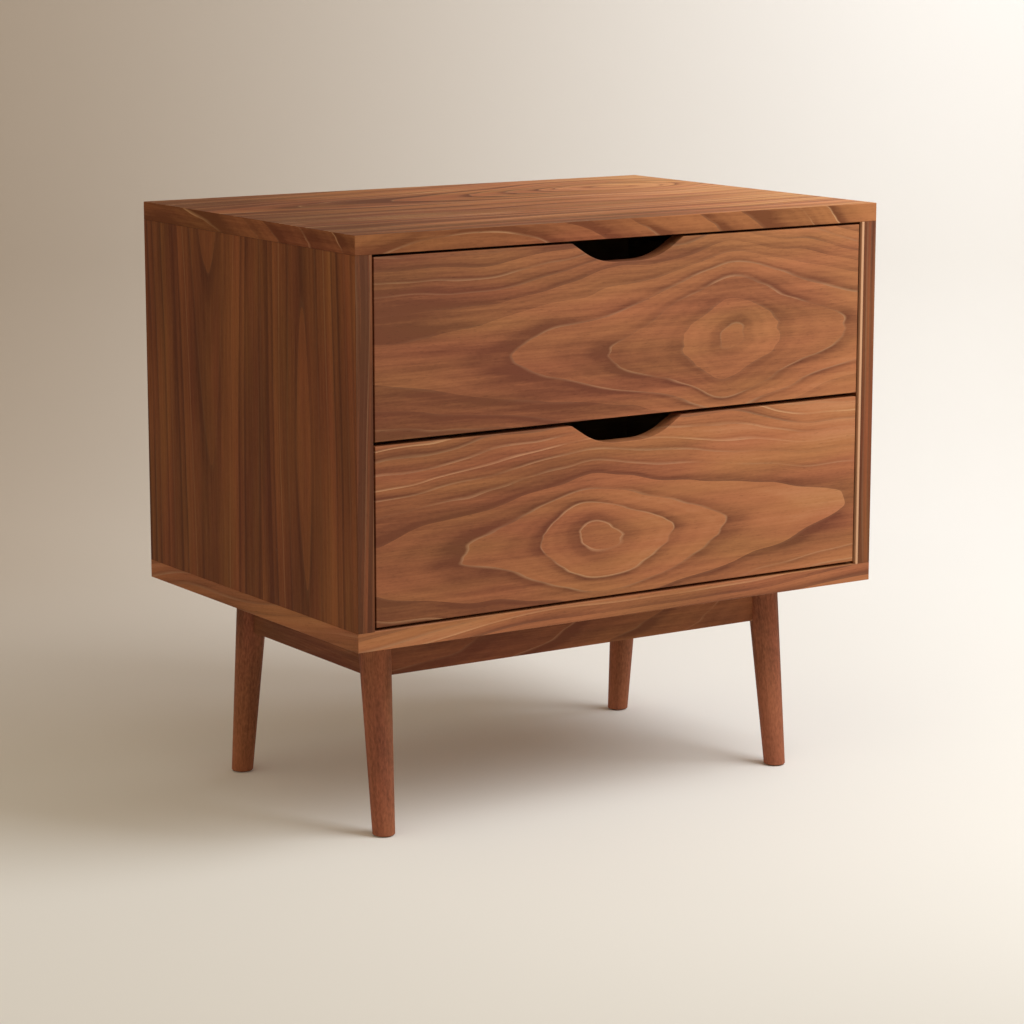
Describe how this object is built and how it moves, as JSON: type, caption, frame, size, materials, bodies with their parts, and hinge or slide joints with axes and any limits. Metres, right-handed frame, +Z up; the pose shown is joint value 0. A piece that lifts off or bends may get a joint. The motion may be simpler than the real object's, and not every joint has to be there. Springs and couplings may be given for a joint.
{
  "type": "nightstand",
  "caption": "Low rectangular nightstand with inset drawers that have finger cut-outs, veneered board case, apron base and round splayed tapered legs.",
  "frame": {"origin": "on the floor, under the middle of the case", "axes": "+Z up, +X to the right as seen from the front, the drawers open towards -Y"},
  "size_m": [0.6, 0.412, 0.579],
  "materials": {
    "walnut_drawer_front": "satin lacquered walnut veneer, flat sawn figure along the width",
    "walnut_case": "satin lacquered walnut veneer on case boards",
    "walnut_leg": "satin stained solid wood, turned",
    "walnut_apron": "satin stained solid wood",
    "walnut_back": "matt veneered board",
    "birch_drawer_box": "clear lacquered plywood",
    "beech_block": "bare sawn wood",
    "beech_dowel": "bare turned wood",
    "zinc_steel": "bright zinc plated",
    "runner_steel": "zinc plated rolled sheet",
    "ball_steel": "polished balls in a plated cage",
    "foot_pad": "dark moulded pad"
  },
  "bodies": {
    "case": {"apron_front": "walnut_apron", "apron_left": "walnut_apron", "apron_rear": "walnut_apron", "apron_right": "walnut_apron", "back_panel": "walnut_back", "back_panel_screws": "zinc_steel", "base_screws": "zinc_steel", "bottom_panel": "walnut_case", "case_dowels": "beech_dowel", "case_runner_lower_left": "runner_steel", "case_runner_lower_right": "runner_steel", "case_runner_screws": "zinc_steel", "case_runner_upper_left": "runner_steel", "case_runner_upper_right": "runner_steel", "corner_block_front_left": "beech_block", "corner_block_front_right": "beech_block", "corner_block_rear_left": "beech_block", "corner_block_rear_right": "beech_block", "foot_pads": "foot_pad", "leg_bolt_nuts": "zinc_steel", "leg_bolts": "zinc_steel", "leg_front_left": "walnut_leg", "leg_front_right": "walnut_leg", "leg_rear_left": "walnut_leg", "leg_rear_right": "walnut_leg", "side_panel_left": "walnut_case", "side_panel_right": "walnut_case", "top_panel": "walnut_case"},
    "upper_drawer": {"box_back_upper": "birch_drawer_box", "box_bottom_upper": "birch_drawer_box", "box_front_upper": "birch_drawer_box", "box_left_upper": "birch_drawer_box", "box_right_upper": "birch_drawer_box", "drawer_front_upper": "walnut_drawer_front", "drawer_runner_screws_upper": "zinc_steel", "drawer_runner_upper_left": "runner_steel", "drawer_runner_upper_right": "runner_steel", "front_screws_upper": "zinc_steel"},
    "lower_drawer": {"box_back_lower": "birch_drawer_box", "box_bottom_lower": "birch_drawer_box", "box_front_lower": "birch_drawer_box", "box_left_lower": "birch_drawer_box", "box_right_lower": "birch_drawer_box", "drawer_front_lower": "walnut_drawer_front", "drawer_runner_lower_left": "runner_steel", "drawer_runner_lower_right": "runner_steel", "drawer_runner_screws_lower": "zinc_steel", "front_screws_lower": "zinc_steel"},
    "upper_left_middle_runner": {"middle_runner_upper_left": "runner_steel", "runner_balls_upper_left": "ball_steel"},
    "upper_right_middle_runner": {"middle_runner_upper_right": "runner_steel", "runner_balls_upper_right": "ball_steel"},
    "lower_left_middle_runner": {"middle_runner_lower_left": "runner_steel", "runner_balls_lower_left": "ball_steel"},
    "lower_right_middle_runner": {"middle_runner_lower_right": "runner_steel", "runner_balls_lower_right": "ball_steel"}
  },
  "joints": [
    {"name": "upper_drawer_slide", "type": "slide", "parent": "case", "child": "upper_drawer", "axis": [0, -1, 0], "range_m": [0, 0.33]},
    {"name": "lower_drawer_slide", "type": "slide", "parent": "case", "child": "lower_drawer", "axis": [0, -1, 0], "range_m": [0, 0.33]},
    {"name": "upper_left_middle_runner_slide", "type": "slide", "parent": "case", "child": "upper_left_middle_runner", "axis": [0, -1, 0], "range_m": [0, 0.165]},
    {"name": "upper_right_middle_runner_slide", "type": "slide", "parent": "case", "child": "upper_right_middle_runner", "axis": [0, -1, 0], "range_m": [0, 0.165]},
    {"name": "lower_left_middle_runner_slide", "type": "slide", "parent": "case", "child": "lower_left_middle_runner", "axis": [0, -1, 0], "range_m": [0, 0.165]},
    {"name": "lower_right_middle_runner_slide", "type": "slide", "parent": "case", "child": "lower_right_middle_runner", "axis": [0, -1, 0], "range_m": [0, 0.165]}
  ],
  "couplings": [
    {"joint": "upper_left_middle_runner_slide", "follows": "upper_drawer_slide", "ratio": 0.5},
    {"joint": "upper_right_middle_runner_slide", "follows": "upper_drawer_slide", "ratio": 0.5},
    {"joint": "lower_left_middle_runner_slide", "follows": "lower_drawer_slide", "ratio": 0.5},
    {"joint": "lower_right_middle_runner_slide", "follows": "lower_drawer_slide", "ratio": 0.5}
  ]
}
